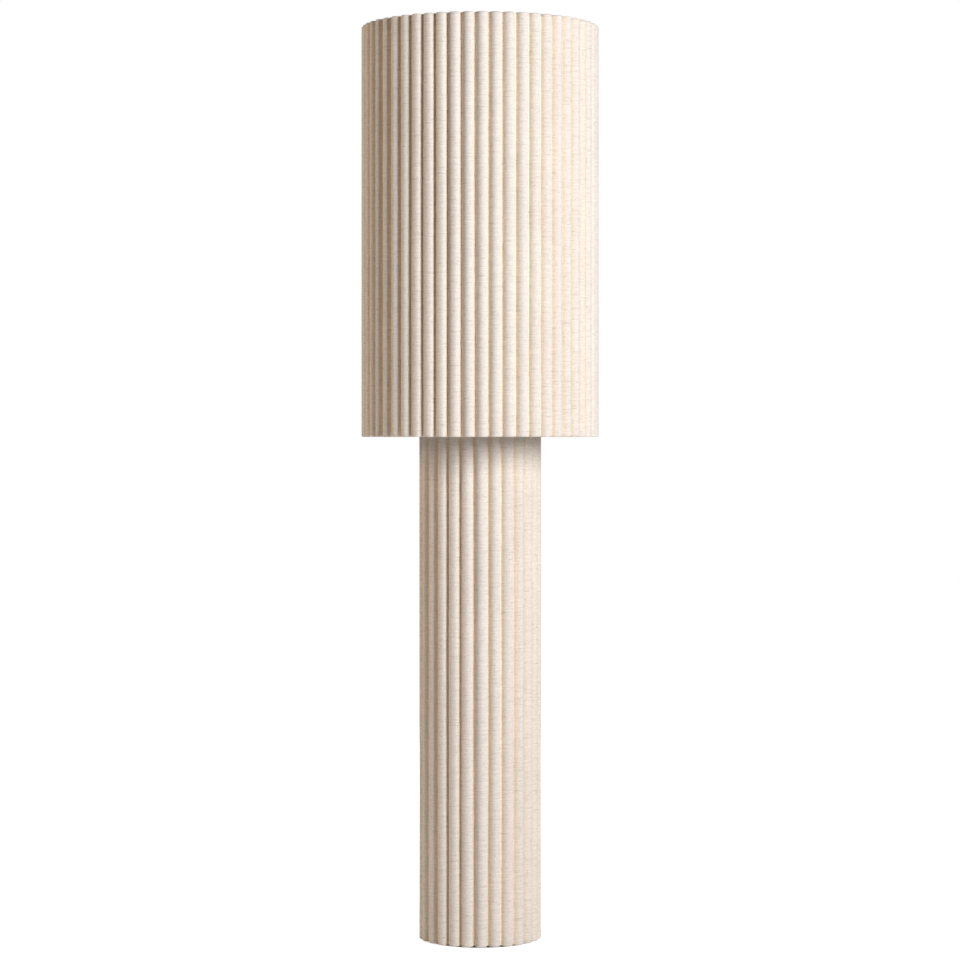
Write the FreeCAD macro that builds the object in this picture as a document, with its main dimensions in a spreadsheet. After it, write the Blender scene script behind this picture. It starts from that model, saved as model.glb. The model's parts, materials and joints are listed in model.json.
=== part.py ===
import FreeCAD, Part
import math
import os
import Sketcher

# A tall floor lamp, in millimetres: a fluted column and a wider fluted shade, both covered in linen.
# Z points up, the floor is z = 0 and the column's axis is the Z axis. The front of the lamp faces -Y,
# where a flute of the column and a flute of the shade both have their crest.
# From the floor up: a cast base holds a steel pole. A core tube stands on the base, half-round strips
# are glued round it, and the linen goes over the strips and is turned in at both ends. A top plate and
# a nut clamp the column. The pole goes on into the shade, where it holds a carrier plate and the
# lampholder. The shade hangs on a wire spider whose ring lies on the carrier plate, and its linen goes
# over half-round strips on a stiff liner.

DIMENSIONS = [
    ("total_height", 1500.0, "floor to the upper rim of the shade"),
    ("shade_bottom", 826.0, "floor to the lower rim of the shade"),
    ("shade_radius", 195.0, "axis to the crest of a shade flute, over the linen"),
    ("shade_flutes", 54, "flutes round the shade"),
    ("column_top", 860.0, "floor to the top of the column, inside the shade"),
    ("column_radius", 100.5, "axis to the crest of a column flute, over the linen"),
    ("column_flutes", 26, "flutes round the column"),
    ("flute_depth", 8.0, "crest of a half-round strip to the valley beside it"),
    ("strip_edge", 1.0, "height of a strip's side, from its flat back to the valley"),
    ("strip_gap", 4.0, "room between two strips, where the linen dips in"),
    ("linen", 0.8, "thickness of the linen cover"),
    ("hem", 14.0, "height of the linen turned in behind a hoop of the shade"),
    ("turn_in", 8.0, "width of the linen turned in at an end of the column, past the core"),
    ("liner_wall", 1.2, "wall of the shade's stiff liner"),
    ("core_wall", 4.0, "wall of the column's core tube"),
    ("pad_height", 2.0, "thickness of the felt under the base"),
    ("pad_inset", 2.5, "how far the felt stays inside the core tube's outside"),
    ("base_height", 22.0, "height of the base weight's rim"),
    ("recess_radius", 17.0, "radius of the nut's recess under the base"),
    ("recess_depth", 11.5, "depth of the nut's recess under the base"),
    ("channel_reach", 30.0, "cord channel in the base, from the core's outside inwards"),
    ("spigot", 6.0, "how far the base and the top plate reach into the core tube"),
    ("pole_end", 0.5, "how far the pole stands out past a nut at each end"),
    ("pole_radius", 6.5, "outside of the pole"),
    ("pole_bore", 4.0, "inside of the pole, where the lead runs"),
    ("stub_radius", 5.0, "outside of the pole's two threaded ends"),
    ("nut_height", 6.0, "height of the two large nuts"),
    ("lower_nut_corner", 10.0, "axis to a corner of the lower nut"),
    ("upper_nut_corner", 12.5, "axis to a corner of the upper nut"),
    ("washer_height", 1.5, "thickness of the two pole washers"),
    ("lower_washer", 14.0, "outside radius of the lower pole washer"),
    ("upper_washer", 16.0, "outside radius of the upper pole washer"),
    ("slack", 0.1, "clearance round the pole and its ends, and at other loose fits"),
    ("slot_start", 68.0, "top of the base's boss to the slot in the pole"),
    ("slot_length", 62.0, "length of the slot in the pole"),
    ("slot_side", 0.4, "clearance between the slot and the lead"),
    ("outlet_height", 16.0, "floor to the axis of the cord outlet"),
    ("outlet_radius", 3.75, "bore of the cord bushing"),
    ("bushing_wall", 1.2, "wall of the cord bushing"),
    ("bushing_reach", 8.0, "how far the cord bushing goes in past the core's outside"),
    ("flange_width", 3.0, "width of the bushing's flange round its tube"),
    ("flange_edge", 1.2, "thickness of the flange at its rim"),
    ("flange_height", 2.6, "thickness of the flange at the bore"),
    ("lead_radius", 2.8, "outside of the inner lead"),
    ("carrier_height", 1075.5, "floor to the underside of the carrier plate"),
    ("carrier_radius", 46.0, "outside of the carrier plate"),
    ("carrier_plate", 3.0, "thickness of the carrier plate"),
    ("boss_radius", 35.5, "raised boss of the carrier plate, which centres the shade"),
    ("boss_lift", 3.0, "how far the boss stands above the slip washer"),
    ("washer_plate", 1.5, "thickness of the slip washer"),
    ("hub_inner", 36.2, "inside of the spider's ring, which clears the bulb"),
    ("hub_outer", 50.0, "outside of the spider's ring"),
    ("hub_plate", 4.0, "thickness of the spider's ring"),
    ("wire", 2.0, "radius of the spokes and stays"),
    ("hoop_wire", 2.4, "radius of the two hoops' wire"),
    ("holder_radius", 20.0, "outside of the lampholder"),
    ("holder_wall", 1.5, "wall of the lampholder's cap"),
    ("holder_plate", 2.0, "floor of the lampholder's cap"),
    ("holder_bevel", 3.0, "bevel round the bottom of the lampholder's cap"),
    ("cap_height", 22.0, "height of the lampholder's cap"),
    ("holder_nut_height", 4.0, "height of the lampholder's nut"),
    ("holder_nut_corner", 8.5, "axis to a corner of the lampholder's nut"),
    ("insert_gap", 1.0, "gap between the ceramic insert and the cap's wall"),
    ("insert_bevel", 4.0, "bevel round the bottom of the ceramic insert"),
    ("contact_height", 1.4, "height of the lampholder's centre contact"),
    ("contact_gap", 0.3, "gap between the centre contact and the bulb"),
    ("sleeve_wall", 3.0, "wall of the lampholder's sleeve"),
    ("sleeve_gap", 0.8, "gap between the sleeve and the bulb's thread"),
    ("bulb_tip", 1112.0, "floor to the bulb's centre contact"),
    ("bulb_length", 108.0, "centre contact to the top of the bulb"),
    ("bulb_radius", 30.0, "radius of the bulb's globe"),
    ("cap_radius", 13.2, "crest of the bulb's screw thread"),
    ("thread_pitch", 3.6, "from ridge to ridge of the bulb's thread"),
    ("thread_turns", 5, "ridges of the bulb's thread"),
    ("thread_depth", 1.0, "depth of the bulb's thread"),
    ("shell_start", 6.0, "bulb's contact to the start of its screw cap"),
    ("shell_end", 27.0, "bulb's contact to the end of its screw cap"),
    ("shell_core", 9.7, "inside of the bulb's screw cap"),
    ("globe_wall", 1.4, "wall of the bulb's globe"),
    ("board_height", 1.2, "thickness of the bulb's light board"),
]

document = FreeCAD.newDocument("fluted_floor_lamp")
sheet = document.addObject("Spreadsheet::Sheet", "sheet")


class Size:
    """A length or count with its value now and the sheet expression that drives it."""

    def __init__(self, value, text):
        self.value = value
        self.text = text

    def __add__(self, other):
        other = size_of(other)
        return Size(self.value + other.value, f"({self.text} + {other.text})")

    def __sub__(self, other):
        other = size_of(other)
        return Size(self.value - other.value, f"({self.text} - {other.text})")

    def __mul__(self, other):
        other = size_of(other)
        return Size(self.value * other.value, f"({self.text} * {other.text})")

    def __truediv__(self, other):
        other = size_of(other)
        return Size(self.value / other.value, f"({self.text} / {other.text})")


def size_of(number):
    """Return a Size unchanged, and a plain number as a Size."""
    if isinstance(number, Size):
        return number
    return Size(float(number), repr(float(number)))


size = {}
for row, (alias, value, meaning) in enumerate(DIMENSIONS, start=1):
    sheet.set(f"A{row}", meaning)
    sheet.set(f"B{row}", str(value))
    sheet.setAlias(f"B{row}", alias)
    size[alias] = Size(float(value), f"sheet.{alias}")
document.recompute()

# Sizes worked out from the driving dimensions.

linen = size["linen"]
shade_crest = size["shade_radius"] - linen
shade_valley = shade_crest - size["flute_depth"]
liner_outer = shade_valley - size["strip_edge"]
liner_inner = liner_outer - size["liner_wall"]
strips_bottom = size["shade_bottom"] + linen
strips_top = size["total_height"] - linen
hoop_gap = size["slack"]
hoop_circle = liner_inner - hoop_gap - size["hoop_wire"]
hem_outer = hoop_circle - size["hoop_wire"] - hoop_gap
lower_hoop_height = strips_bottom + hoop_gap + size["hoop_wire"]
upper_hoop_height = strips_top - hoop_gap - size["hoop_wire"]

column_crest = size["column_radius"] - linen
column_valley = column_crest - size["flute_depth"]
core_outer = column_valley - size["strip_edge"]
core_inner = core_outer - size["core_wall"]
spigot_radius = core_inner - size["slack"] * 2
turn_in_radius = core_outer - size["turn_in"]
base_bottom = size["pad_height"]
base_top = base_bottom + size["base_height"]
boss_top = base_top + size["spigot"]
top_plate_bottom = size["column_top"] - size["turn_in"]
bore_radius = size["stub_radius"] + size["slack"]
pole_hole = size["pole_radius"] + size["slack"]
recess_top = base_bottom + size["recess_depth"]
channel_radius = size["outlet_radius"] + size["bushing_wall"] + size["slack"] / 2
channel_end = core_outer - size["channel_reach"]

carrier_top = size["carrier_height"] + size["carrier_plate"]
washer_top = carrier_top + size["washer_plate"]
hub_top = washer_top + size["hub_plate"]
boss_height = washer_top + size["boss_lift"]
hub_middle = washer_top + size["hub_plate"] / 2
holder_bottom = boss_height
holder_floor = holder_bottom + size["holder_plate"]
holder_nut_top = holder_floor + size["holder_nut_height"]
cap_wall_top = holder_bottom + size["cap_height"]
insert_top = size["bulb_tip"] - size["contact_gap"] - size["contact_height"]
shell_bottom = size["bulb_tip"] + size["shell_start"]
shell_top = size["bulb_tip"] + size["shell_end"]
globe_centre = size["bulb_tip"] + size["bulb_length"] - size["bulb_radius"]
GLOBE_CUT_SINE = 0.6
GLOBE_CUT_COSINE = 0.8
globe_cut = globe_centre - size["bulb_radius"] * GLOBE_CUT_SINE
globe_cut_radius = size["bulb_radius"] * GLOBE_CUT_COSINE

pieces = {}


def add_piece(label, piece):
    """Give a finished sub-part its label, which is also its file's name."""
    piece.Label = label
    pieces[label] = piece
    return piece


def new_body(label):
    """Start the body of one sub-part."""
    return add_piece(label, document.addObject("PartDesign::Body", label))


def origin_feature(body, role):
    """Find one of a body's own origin planes or axes."""
    for feature in body.Origin.OriginFeatures:
        if feature.Role == role:
            return feature
    raise ValueError(role)


def new_sketch(body, name, plane, offset=None):
    """Start a sketch on one of the body's planes, moved along the plane's normal by an offset."""
    sketch = body.newObject("Sketcher::SketchObject", name)
    sketch.AttachmentSupport = (origin_feature(body, plane), [""])
    sketch.MapMode = "FlatFace"
    if offset is not None:
        sketch.AttachmentOffset = FreeCAD.Placement(FreeCAD.Vector(0, 0, offset.value), FreeCAD.Rotation())
        sketch.setExpression(".AttachmentOffset.Base.z", offset.text)
    return sketch


def drive(sketch, kind, references, measure):
    """Add a dimension to a sketch and bind it to the sheet."""
    index = sketch.addConstraint(Sketcher.Constraint(kind, *references, measure.value))
    sketch.setExpression(f"Constraints[{index}]", measure.text)


def pin_point(sketch, edge, end, across, up):
    """Hold a point of a sketch at a driven distance from the two axes."""
    for kind, axis, measure in (("DistanceX", -2, across), ("DistanceY", -1, up)):
        if measure.value == 0:
            sketch.addConstraint(Sketcher.Constraint("PointOnObject", edge, end, axis))
        elif measure.value > 0:
            drive(sketch, kind, (-1, 1, edge, end), measure)
        else:
            drive(sketch, kind, (edge, end, -1, 1), size_of(0) - measure)


def outline(sketch, corners):
    """Draw a closed outline of straight edges through driven corners."""
    corners = [(size_of(across), size_of(up)) for across, up in corners]
    points = [FreeCAD.Vector(across.value, up.value, 0) for across, up in corners]
    count = len(points)
    for index in range(count):
        sketch.addGeometry(Part.LineSegment(points[index], points[(index + 1) % count]))
    for index, (across, up) in enumerate(corners):
        sketch.addConstraint(Sketcher.Constraint("Coincident", index, 2, (index + 1) % count, 1))
        pin_point(sketch, index, 1, across, up)


def circle(sketch, radius, across=0, up=0):
    """Draw a driven circle."""
    radius = size_of(radius)
    across = size_of(across)
    up = size_of(up)
    centre = FreeCAD.Vector(across.value, up.value, 0)
    edge = sketch.addGeometry(Part.Circle(centre, FreeCAD.Vector(0, 0, 1), radius.value))
    drive(sketch, "Radius", (edge,), radius)
    pin_point(sketch, edge, 3, across, up)


def revolve(body, sketch):
    """Turn a profile all the way round the sketch's upright axis."""
    turned = body.newObject("PartDesign::Revolution", "turned")
    turned.Profile = sketch
    turned.ReferenceAxis = (sketch, ["V_Axis"])
    turned.Angle = 360
    sketch.Visibility = False
    return turned


def turned_piece(label, corners):
    """Make a piece by turning an outline of (radius, height) corners round the Z axis."""
    body = new_body(label)
    sketch = new_sketch(body, "profile", "XZ_Plane")
    outline(sketch, corners)
    revolve(body, sketch)
    return body


def tube_corners(inner, outer, bottom, top):
    """Give the profile of a plain tube or ring."""
    return [(inner, bottom), (outer, bottom), (outer, top), (inner, top)]


def pocket(body, sketch, depth, name):
    """Cut a sketch's outline out of a body, away from the sketch plane's normal."""
    document.recompute()
    before = body.Shape.Volume
    cut = body.newObject("PartDesign::Pocket", name)
    cut.Profile = sketch
    cut.setExpression("Length", size_of(depth).text)
    document.recompute()
    if not body.Shape.Volume < before - 1:
        raise ValueError(f"{body.Label}: {name} cuts nothing")


def bind(piece, **measures):
    """Bind properties of a primitive to the sheet."""
    for name, measure in measures.items():
        piece.setExpression(name, size_of(measure).text)


def raise_to(piece, height, across=0, depth=0):
    """Place a primitive at a driven point."""
    for axis, measure in (("x", across), ("y", depth), ("z", height)):
        piece.setExpression(f".Placement.Base.{axis}", size_of(measure).text)


def cylinder(name, radius, height, bottom):
    """Make an upright cylinder on the Z axis."""
    rod = document.addObject("Part::Cylinder", name)
    bind(rod, Radius=radius, Height=height)
    raise_to(rod, bottom)
    return rod


def lying_cylinder(name, radius, length, start, height, across=0):
    """Make a cylinder that lies along +Y from a driven start."""
    rod = document.addObject("Part::Cylinder", name)
    rod.Placement.Rotation = FreeCAD.Rotation(FreeCAD.Vector(1, 0, 0), -90)
    bind(rod, Radius=radius, Height=length)
    raise_to(rod, height, across, start)
    return rod


def cut(name, base, *tools):
    """Take tools away from a solid, one after another."""
    for index, tool in enumerate(tools):
        result = document.addObject("Part::Cut", f"{name}_cut_{index}")
        result.Base = base
        result.Tool = tool
        base = result
    return base


# The flutes: every fluted piece is one flute's share, patterned round the axis.


def half_flute(radius, count, function):
    """Give radius times the sine, cosine or tangent of half a flute's angle."""
    value = radius.value * getattr(math, function)(math.pi / count.value)
    return Size(value, f"({radius.text} * {function}(180deg / {count.text}))")


def arc_radius(crest, valley, count):
    """Give the centre distance and the radius of the arc through a crest and its two valleys."""
    half = math.pi / count.value
    centre = (crest.value ** 2 - valley.value ** 2) / (2 * (crest.value - valley.value * math.cos(half)))
    return centre, crest.value - centre


def bisector_point(centre, radius, half, side):
    """Find where an arc about a centre on the -Y axis meets the line between two flutes."""
    reach = centre * math.cos(half)
    reach += math.sqrt(reach ** 2 - centre ** 2 + radius ** 2)
    return FreeCAD.Vector(side * reach * math.sin(half), -reach * math.cos(half), 0)


def front_arc(sketch, centre, radius, left, right, construction=False):
    """Draw an arc about a centre on the -Y axis, from its left end to its right end."""
    middle = FreeCAD.Vector(0, -centre, 0)
    start = math.atan2(left.y - middle.y, left.x - middle.x)
    end = math.atan2(right.y - middle.y, right.x - middle.x)
    if start > 0:
        start -= 2 * math.pi
    curve = Part.ArcOfCircle(Part.Circle(middle, FreeCAD.Vector(0, 0, 1), radius), start, end)
    return sketch.addGeometry(curve, construction)


def sector_arc(sketch, centre, radius, half, construction=False):
    """Draw an arc across a flute's sector, from its left side to its right side."""
    left = bisector_point(centre, radius, half, -1)
    right = bisector_point(centre, radius, half, 1)
    return front_arc(sketch, centre, radius, left, right, construction)


def crest_point(sketch, arc, crest):
    """Hold the middle of a flute's arc at the crest's distance from the axis."""
    point = sketch.addGeometry(Part.Point(FreeCAD.Vector(0, -crest.value, 0)), True)
    pin_point(sketch, point, 1, size_of(0), size_of(0) - crest)
    sketch.addConstraint(Sketcher.Constraint("PointOnObject", point, 1, arc))
    sketch.addConstraint(Sketcher.Constraint("PointOnObject", arc, 3, -2))


def end_points(sketch, arc, across, up):
    """Hold an arc's two ends at driven distances to the sides and in front of the axis."""
    drive(sketch, "DistanceX", (-1, 1, arc, 2), across)
    drive(sketch, "DistanceY", (arc, 2, -1, 1), up)
    sketch.addConstraint(Sketcher.Constraint("Symmetric", arc, 1, arc, 2, -2))


def skin_sketch(body, name, bottom, count, crest, valley, inner=None):
    """Draw one flute's share of the linen: a skin over the strips, or a flat turned in to a circle."""
    half = math.pi / count.value
    centre, radius = arc_radius(crest, valley, count)
    sketch = new_sketch(body, name, "XY_Plane", bottom)
    whole = inner is not None
    under = sector_arc(sketch, centre, radius, half, construction=whole)
    crest_point(sketch, under, crest)
    end_points(sketch, under, half_flute(valley, count, "sin"), half_flute(valley, count, "cos"))
    near = under
    far = sector_arc(sketch, centre, radius + linen.value, half)
    sketch.addConstraint(Sketcher.Constraint("Coincident", far, 3, under, 3))
    point = sketch.addGeometry(Part.Point(FreeCAD.Vector(0, -crest.value - linen.value, 0)), True)
    pin_point(sketch, point, 1, size_of(0), size_of(0) - crest - linen)
    sketch.addConstraint(Sketcher.Constraint("PointOnObject", point, 1, far))
    sketch.addConstraint(Sketcher.Constraint("Symmetric", far, 1, far, 2, -2))
    if whole:
        near = sector_arc(sketch, 0.0, inner.value, half)
        sketch.addConstraint(Sketcher.Constraint("Coincident", near, 3, -1, 1))
        drive(sketch, "Radius", (near,), inner)
        sketch.addConstraint(Sketcher.Constraint("Symmetric", near, 1, near, 2, -2))
    for end in (1, 2):
        start_point = sketch.getPoint(near, end)
        end_point = sketch.getPoint(far, end)
        side = sketch.addGeometry(Part.LineSegment(start_point, end_point))
        sketch.addConstraint(Sketcher.Constraint("Coincident", side, 1, near, end))
        sketch.addConstraint(Sketcher.Constraint("Coincident", side, 2, far, end))
        if end == 2:
            sketch.addConstraint(Sketcher.Constraint("PointOnObject", -1, 1, side))
            if whole:
                sketch.addConstraint(Sketcher.Constraint("PointOnObject", under, 2, side))
    return sketch


def pad(body, sketch, height, name):
    """Raise a sketch's outline by a driven height."""
    raised = body.newObject("PartDesign::Pad", name)
    raised.Profile = sketch
    raised.setExpression("Length", size_of(height).text)
    sketch.Visibility = False
    return raised


def pattern(body, features, count):
    """Repeat one flute's features all the way round."""
    document.recompute()
    repeated = body.newObject("PartDesign::PolarPattern", "flutes")
    repeated.Originals = features
    repeated.Axis = (origin_feature(body, "Z_Axis"), [""])
    repeated.Angle = 360
    repeated.setExpression("Occurrences", count.text)
    body.Tip = repeated
    document.recompute()
    return repeated


def strip_sketch(body, bottom, count, crest, valley, back):
    """Draw the section of one half-round strip: a crown, two low sides and a flat glued back."""
    edge = half_flute(back, count, "tan") - size["strip_gap"] / 2
    shoulder = half_flute(valley, count, "cos")
    reach = crest.value ** 2 - edge.value ** 2 - shoulder.value ** 2
    centre = reach / (2 * (crest.value - shoulder.value))
    left = FreeCAD.Vector(-edge.value, -shoulder.value, 0)
    right = FreeCAD.Vector(edge.value, -shoulder.value, 0)
    sketch = new_sketch(body, "strip", "XY_Plane", bottom)
    crown = front_arc(sketch, centre, crest.value - centre, left, right)
    crest_point(sketch, crown, crest)
    end_points(sketch, crown, edge, shoulder)
    foot = FreeCAD.Vector(0, shoulder.value - back.value, 0)
    ends = [right, right + foot, left + foot, left]
    sides = [sketch.addGeometry(Part.LineSegment(*pair)) for pair in zip(ends, ends[1:])]
    sketch.addConstraint(Sketcher.Constraint("Coincident", crown, 2, sides[0], 1))
    sketch.addConstraint(Sketcher.Constraint("Coincident", sides[0], 2, sides[1], 1))
    sketch.addConstraint(Sketcher.Constraint("Coincident", sides[1], 2, sides[2], 1))
    sketch.addConstraint(Sketcher.Constraint("Coincident", sides[2], 2, crown, 1))
    sketch.addConstraint(Sketcher.Constraint("Vertical", sides[0]))
    sketch.addConstraint(Sketcher.Constraint("Horizontal", sides[1]))
    sketch.addConstraint(Sketcher.Constraint("Vertical", sides[2]))
    drive(sketch, "DistanceY", (sides[1], 1, -1, 1), back)
    return sketch


def flute_strips(label, count, crest, valley, back, bottom, top):
    """Make the separate half-round strips that give the linen its flutes."""
    body = new_body(label)
    body.AllowCompound = True
    sketch = strip_sketch(body, bottom, count, crest, valley, back)
    pattern(body, [pad(body, sketch, top - bottom, "strip_pad")], count)
    if len(body.Shape.Solids) != round(count.value):
        raise ValueError(f"{label}: {len(body.Shape.Solids)} separate strips")
    return body


def fluted_cover(label, count, crest, valley, inner, bottom, top):
    """Make the linen skin over the strips, with its two ends turned in flat to an inner radius."""
    body = new_body(label)
    skin = skin_sketch(body, "skin", bottom, count, crest, valley)
    features = [pad(body, skin, top - bottom, "skin_pad")]
    for name, height in (("lower_turn", bottom), ("upper_turn", top - linen)):
        turn = skin_sketch(body, name, height, count, crest, valley, inner=inner)
        features.append(pad(body, turn, linen, name + "_pad"))
    pattern(body, features, count)
    return body


def outlet_hole(body, radius, start):
    """Cut the cord outlet through a piece's back, from a driven distance behind the axis outwards."""
    sketch = new_sketch(body, "outlet", "XZ_Plane", size_of(0) - start)
    circle(sketch, radius, 0, size["outlet_height"])
    pocket(body, sketch, size["column_radius"] - start + linen, "outlet_pocket")


# The column: base, core, strips, linen, top plate and what clamps them.


def make_base():
    """Make the felt pad and the cast base weight with its nut recess and its cord channel."""
    add_piece("felt_pad", cylinder("felt_pad", core_outer - size["pad_inset"], size["pad_height"], 0))
    base = turned_piece("base_weight", [
        (size["recess_radius"], base_bottom),
        (turn_in_radius, base_bottom),
        (turn_in_radius, base_bottom + linen),
        (core_outer, base_bottom + linen),
        (core_outer, base_top),
        (spigot_radius, base_top),
        (spigot_radius, boss_top),
        (bore_radius, boss_top),
        (bore_radius, recess_top),
        (size["recess_radius"], recess_top),
    ])
    outlet_hole(base, channel_radius, channel_end)
    riser = new_sketch(base, "riser", "XY_Plane", boss_top)
    circle(riser, channel_radius, 0, channel_end)
    pocket(base, riser, boss_top - size["outlet_height"] + channel_radius, "riser_pocket")


def hexagon_nut(label, bore, corner, height, bottom):
    """Make a plain hexagon nut."""
    block = document.addObject("Part::Prism", label + "_block")
    block.Polygon = 6
    bind(block, Circumradius=corner, Height=height)
    raise_to(block, bottom)
    hole = cylinder(label + "_hole", bore, height, bottom)
    return add_piece(label, cut(label, block, hole))


def make_clamps():
    """Make the washer and hexagon nut at each end of the clamped column."""
    lower_face = recess_top - size["washer_height"]
    upper_face = size["column_top"] + size["washer_height"]
    turned_piece("pole_washer_lower",
                 tube_corners(bore_radius, size["lower_washer"], lower_face, recess_top))
    turned_piece("pole_washer_upper",
                 tube_corners(pole_hole, size["upper_washer"], size["column_top"], upper_face))
    tall = size["nut_height"]
    hexagon_nut("pole_nut_lower", bore_radius, size["lower_nut_corner"], tall, lower_face - tall)
    hexagon_nut("pole_nut_upper", pole_hole, size["upper_nut_corner"], tall, upper_face)


def make_pole():
    """Make the steel pole, turned down at both ends, with a slot in its back for the lead."""
    stub_bottom = recess_top - size["washer_height"] - size["nut_height"] - size["pole_end"]
    stub_top = holder_nut_top + size["pole_end"]
    pole = turned_piece("pole", [
        (size["pole_bore"], stub_bottom),
        (size["stub_radius"], stub_bottom),
        (size["stub_radius"], boss_top),
        (size["pole_radius"], boss_top),
        (size["pole_radius"], size["carrier_height"]),
        (size["stub_radius"], size["carrier_height"]),
        (size["stub_radius"], stub_top),
        (size["pole_bore"], stub_top),
    ])
    slot = new_sketch(pole, "slot", "XZ_Plane")
    half_width = size["lead_radius"] + size["slot_side"]
    slot_bottom = boss_top + size["slot_start"]
    slot_top = slot_bottom + size["slot_length"]
    outline(slot, [
        (size_of(0) - half_width, slot_bottom),
        (half_width, slot_bottom),
        (half_width, slot_top),
        (size_of(0) - half_width, slot_top),
    ])
    pocket(pole, slot, size["pole_radius"], "slot_pocket")


def make_column():
    """Make the core tube, its half-round strips, the linen cover and the top plate."""
    turned_piece("column_core", tube_corners(core_inner, core_outer, base_top, top_plate_bottom))
    count = size["column_flutes"]
    flute = (count, column_crest, column_valley)
    strips = flute_strips("column_fluting", *flute, core_outer,
                          base_bottom + linen, size["column_top"] - linen)
    cover = fluted_cover("column_linen", *flute, turn_in_radius, base_bottom, size["column_top"])
    hole_radius = size["outlet_radius"] + size["bushing_wall"] + size["slack"]
    outlet_hole(strips, hole_radius, core_outer - size["strip_edge"])
    outlet_hole(cover, hole_radius, column_valley + size["strip_edge"])
    turned_piece("column_top_plate", [
        (pole_hole, top_plate_bottom - size["spigot"]),
        (spigot_radius, top_plate_bottom - size["spigot"]),
        (spigot_radius, top_plate_bottom),
        (core_outer, top_plate_bottom),
        (core_outer, size["column_top"] - linen),
        (turn_in_radius, size["column_top"] - linen),
        (turn_in_radius, size["column_top"]),
        (pole_hole, size["column_top"]),
    ])


def make_cord_bushing():
    """Make the bushing of the cord outlet: a tube along +Y with a flange outside the linen."""
    body = new_body("cord_bushing")
    sketch = new_sketch(body, "profile", "XY_Plane")
    bore = size["outlet_radius"]
    tube = bore + size["bushing_wall"]
    rim = tube + size["flange_width"]
    start = core_outer - size["bushing_reach"]
    seat = size["column_radius"] + size["slack"]
    outline(sketch, [
        (bore, start),
        (tube, start),
        (tube, seat),
        (rim, seat),
        (rim, seat + size["flange_edge"]),
        (rim - size["flange_edge"], seat + size["flange_height"]),
        (bore, seat + size["flange_height"]),
    ])
    revolve(body, sketch)
    raise_to(body, size["outlet_height"])


# The wiring inside: a terminal block on the base, and the lead that goes up the pole.

BLOCK_WIDTH = size_of(24)
BLOCK_DEPTH = size_of(14)
BLOCK_HEIGHT = size_of(16)
BLOCK_START = size_of(23)
SCREW_RADIUS = size_of(2)
SCREW_LENGTH = size_of(5)
SCREW_SPACING = 12.0
SCREW_SUNK = 0.6


def make_terminal_block():
    """Make the terminal block behind the pole, and its two clamping screws as one group."""
    block = document.addObject("Part::Box", "terminal_body")
    bind(block, Length=BLOCK_WIDTH, Width=BLOCK_DEPTH, Height=BLOCK_HEIGHT)
    raise_to(block, boss_top, size_of(0) - BLOCK_WIDTH / 2, BLOCK_START)
    back = BLOCK_START + BLOCK_DEPTH
    screw_height = boss_top + BLOCK_HEIGHT / 2
    holes = []
    screws = []
    for name, across in (("left", -SCREW_SPACING / 2), ("right", SCREW_SPACING / 2)):
        holes.append(lying_cylinder(name + "_hole", SCREW_RADIUS + size["slack"], SCREW_LENGTH,
                                    back - SCREW_LENGTH, screw_height, across))
        screws.append(lying_cylinder(name + "_screw", SCREW_RADIUS, SCREW_LENGTH - SCREW_SUNK,
                                     back - SCREW_LENGTH, screw_height, across))
    add_piece("terminal_block", cut("terminal_block", block, *holes))
    group = document.addObject("Part::Compound", "terminal_screws")
    group.Links = screws
    add_piece("terminal_screws", group)


ARC_SHARE = 0.45
LEAD_RISE = 45.0
LEAD_ENTRY = 100.0
LEAD_END = 3.0


def lead_path(points):
    """Join the route's straight runs with arcs as large as the shorter run of each pair allows."""
    edges = []
    start = points[0]
    for before, corner, after in zip(points, points[1:], points[2:]):
        arriving = (corner - before).normalize()
        leaving = (after - corner).normalize()
        shorter = min((corner - before).Length, (after - corner).Length)
        reach = ARC_SHARE * shorter
        turn = arriving.getAngle(leaving)
        radius = reach / math.tan(turn / 2)
        print("lead arc radius", round(radius, 1))
        arc_start = corner - arriving * reach
        arc_end = corner + leaving * reach
        inward = (leaving - arriving).normalize()
        middle = corner + inward * (radius / math.cos(turn / 2) - radius)
        edges.append(Part.LineSegment(start, arc_start).toShape())
        edges.append(Part.Arc(arc_start, middle, arc_end).toShape())
        start = arc_end
    edges.append(Part.LineSegment(start, points[-1]).toShape())
    return Part.Wire(edges)


def make_inner_lead():
    """Make the lead from the terminal block into the pole's slot and up to the lampholder."""
    radius = size["lead_radius"].value
    floor = boss_top.value
    behind = (BLOCK_START + BLOCK_DEPTH / 2).value
    points = [
        FreeCAD.Vector(0, behind, floor + BLOCK_HEIGHT.value),
        FreeCAD.Vector(0, behind, floor + LEAD_RISE),
        FreeCAD.Vector(0, 0, floor + LEAD_ENTRY),
        FreeCAD.Vector(0, 0, holder_nut_top.value + LEAD_END),
    ]
    path = lead_path(points)
    ring = Part.Circle(points[0], FreeCAD.Vector(0, 0, 1), radius)
    profile = Part.Wire([ring.toShape()])
    solid = path.makePipeShell([profile], True, False)
    expected = math.pi * radius ** 2 * path.Length
    print("lead length", round(path.Length, 1), "volume over expected", round(solid.Volume / expected, 4))
    lead = document.addObject("Part::Feature", "inner_lead")
    lead.Shape = solid
    lead.Placement = FreeCAD.Placement()
    add_piece("inner_lead", lead)


# The carrier and the lampholder at the top of the pole.

WASHER_PLAY = 0.5
CENTRE_CONTACT_RADIUS = 4.0
SIDE_CONTACT = (1.2, 6.0, 3.5)
SIDE_CONTACT_PLACE = 11.0
HOLDER_SCREW_RADIUS = 2.2
HOLDER_SCREW_HEIGHT = 2.5
HOLDER_SCREW_PLACE = 9.0
SLEEVE_PLAY = 0.2
SLEEVE_SHOULDER = (6.0, 9.0)


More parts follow.
